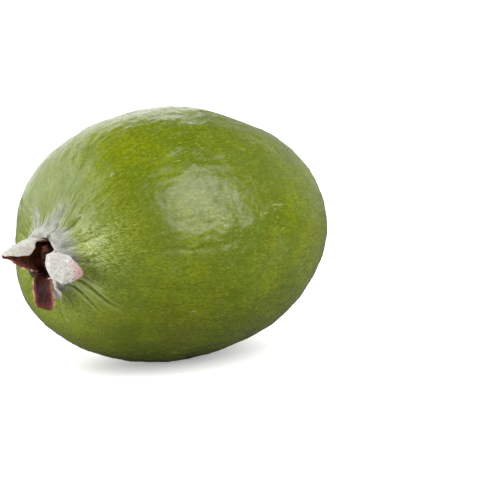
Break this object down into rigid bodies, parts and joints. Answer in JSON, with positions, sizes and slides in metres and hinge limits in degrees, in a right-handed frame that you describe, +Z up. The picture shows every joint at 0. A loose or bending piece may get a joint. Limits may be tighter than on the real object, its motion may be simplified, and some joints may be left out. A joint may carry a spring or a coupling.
{
  "type": "feijoa",
  "caption": "Whole ripe feijoa lying on its side: egg-shaped green fruit with a streaked, dimpled skin and the dried woolly calyx on its nose.",
  "frame": {"origin": "on the surface the fruit lies on, under the middle of the box round the whole object", "axes": "+X along the fruit from the calyx to the stalk end, +Z up, +Y away from a viewer who has the calyx on the left"},
  "size_m": [0.0734, 0.0454, 0.045],
  "materials": {
    "skin": "green fruit skin, waxy and softly shining, with fine pale streaks, dimples and a grey bloom",
    "wool": "dried sepals, matt white wool outside and rusty brown inside"
  },
  "bodies": {
    "root": {"fruit": "skin", "calyx": "wool"}
  },
  "joints": []
}
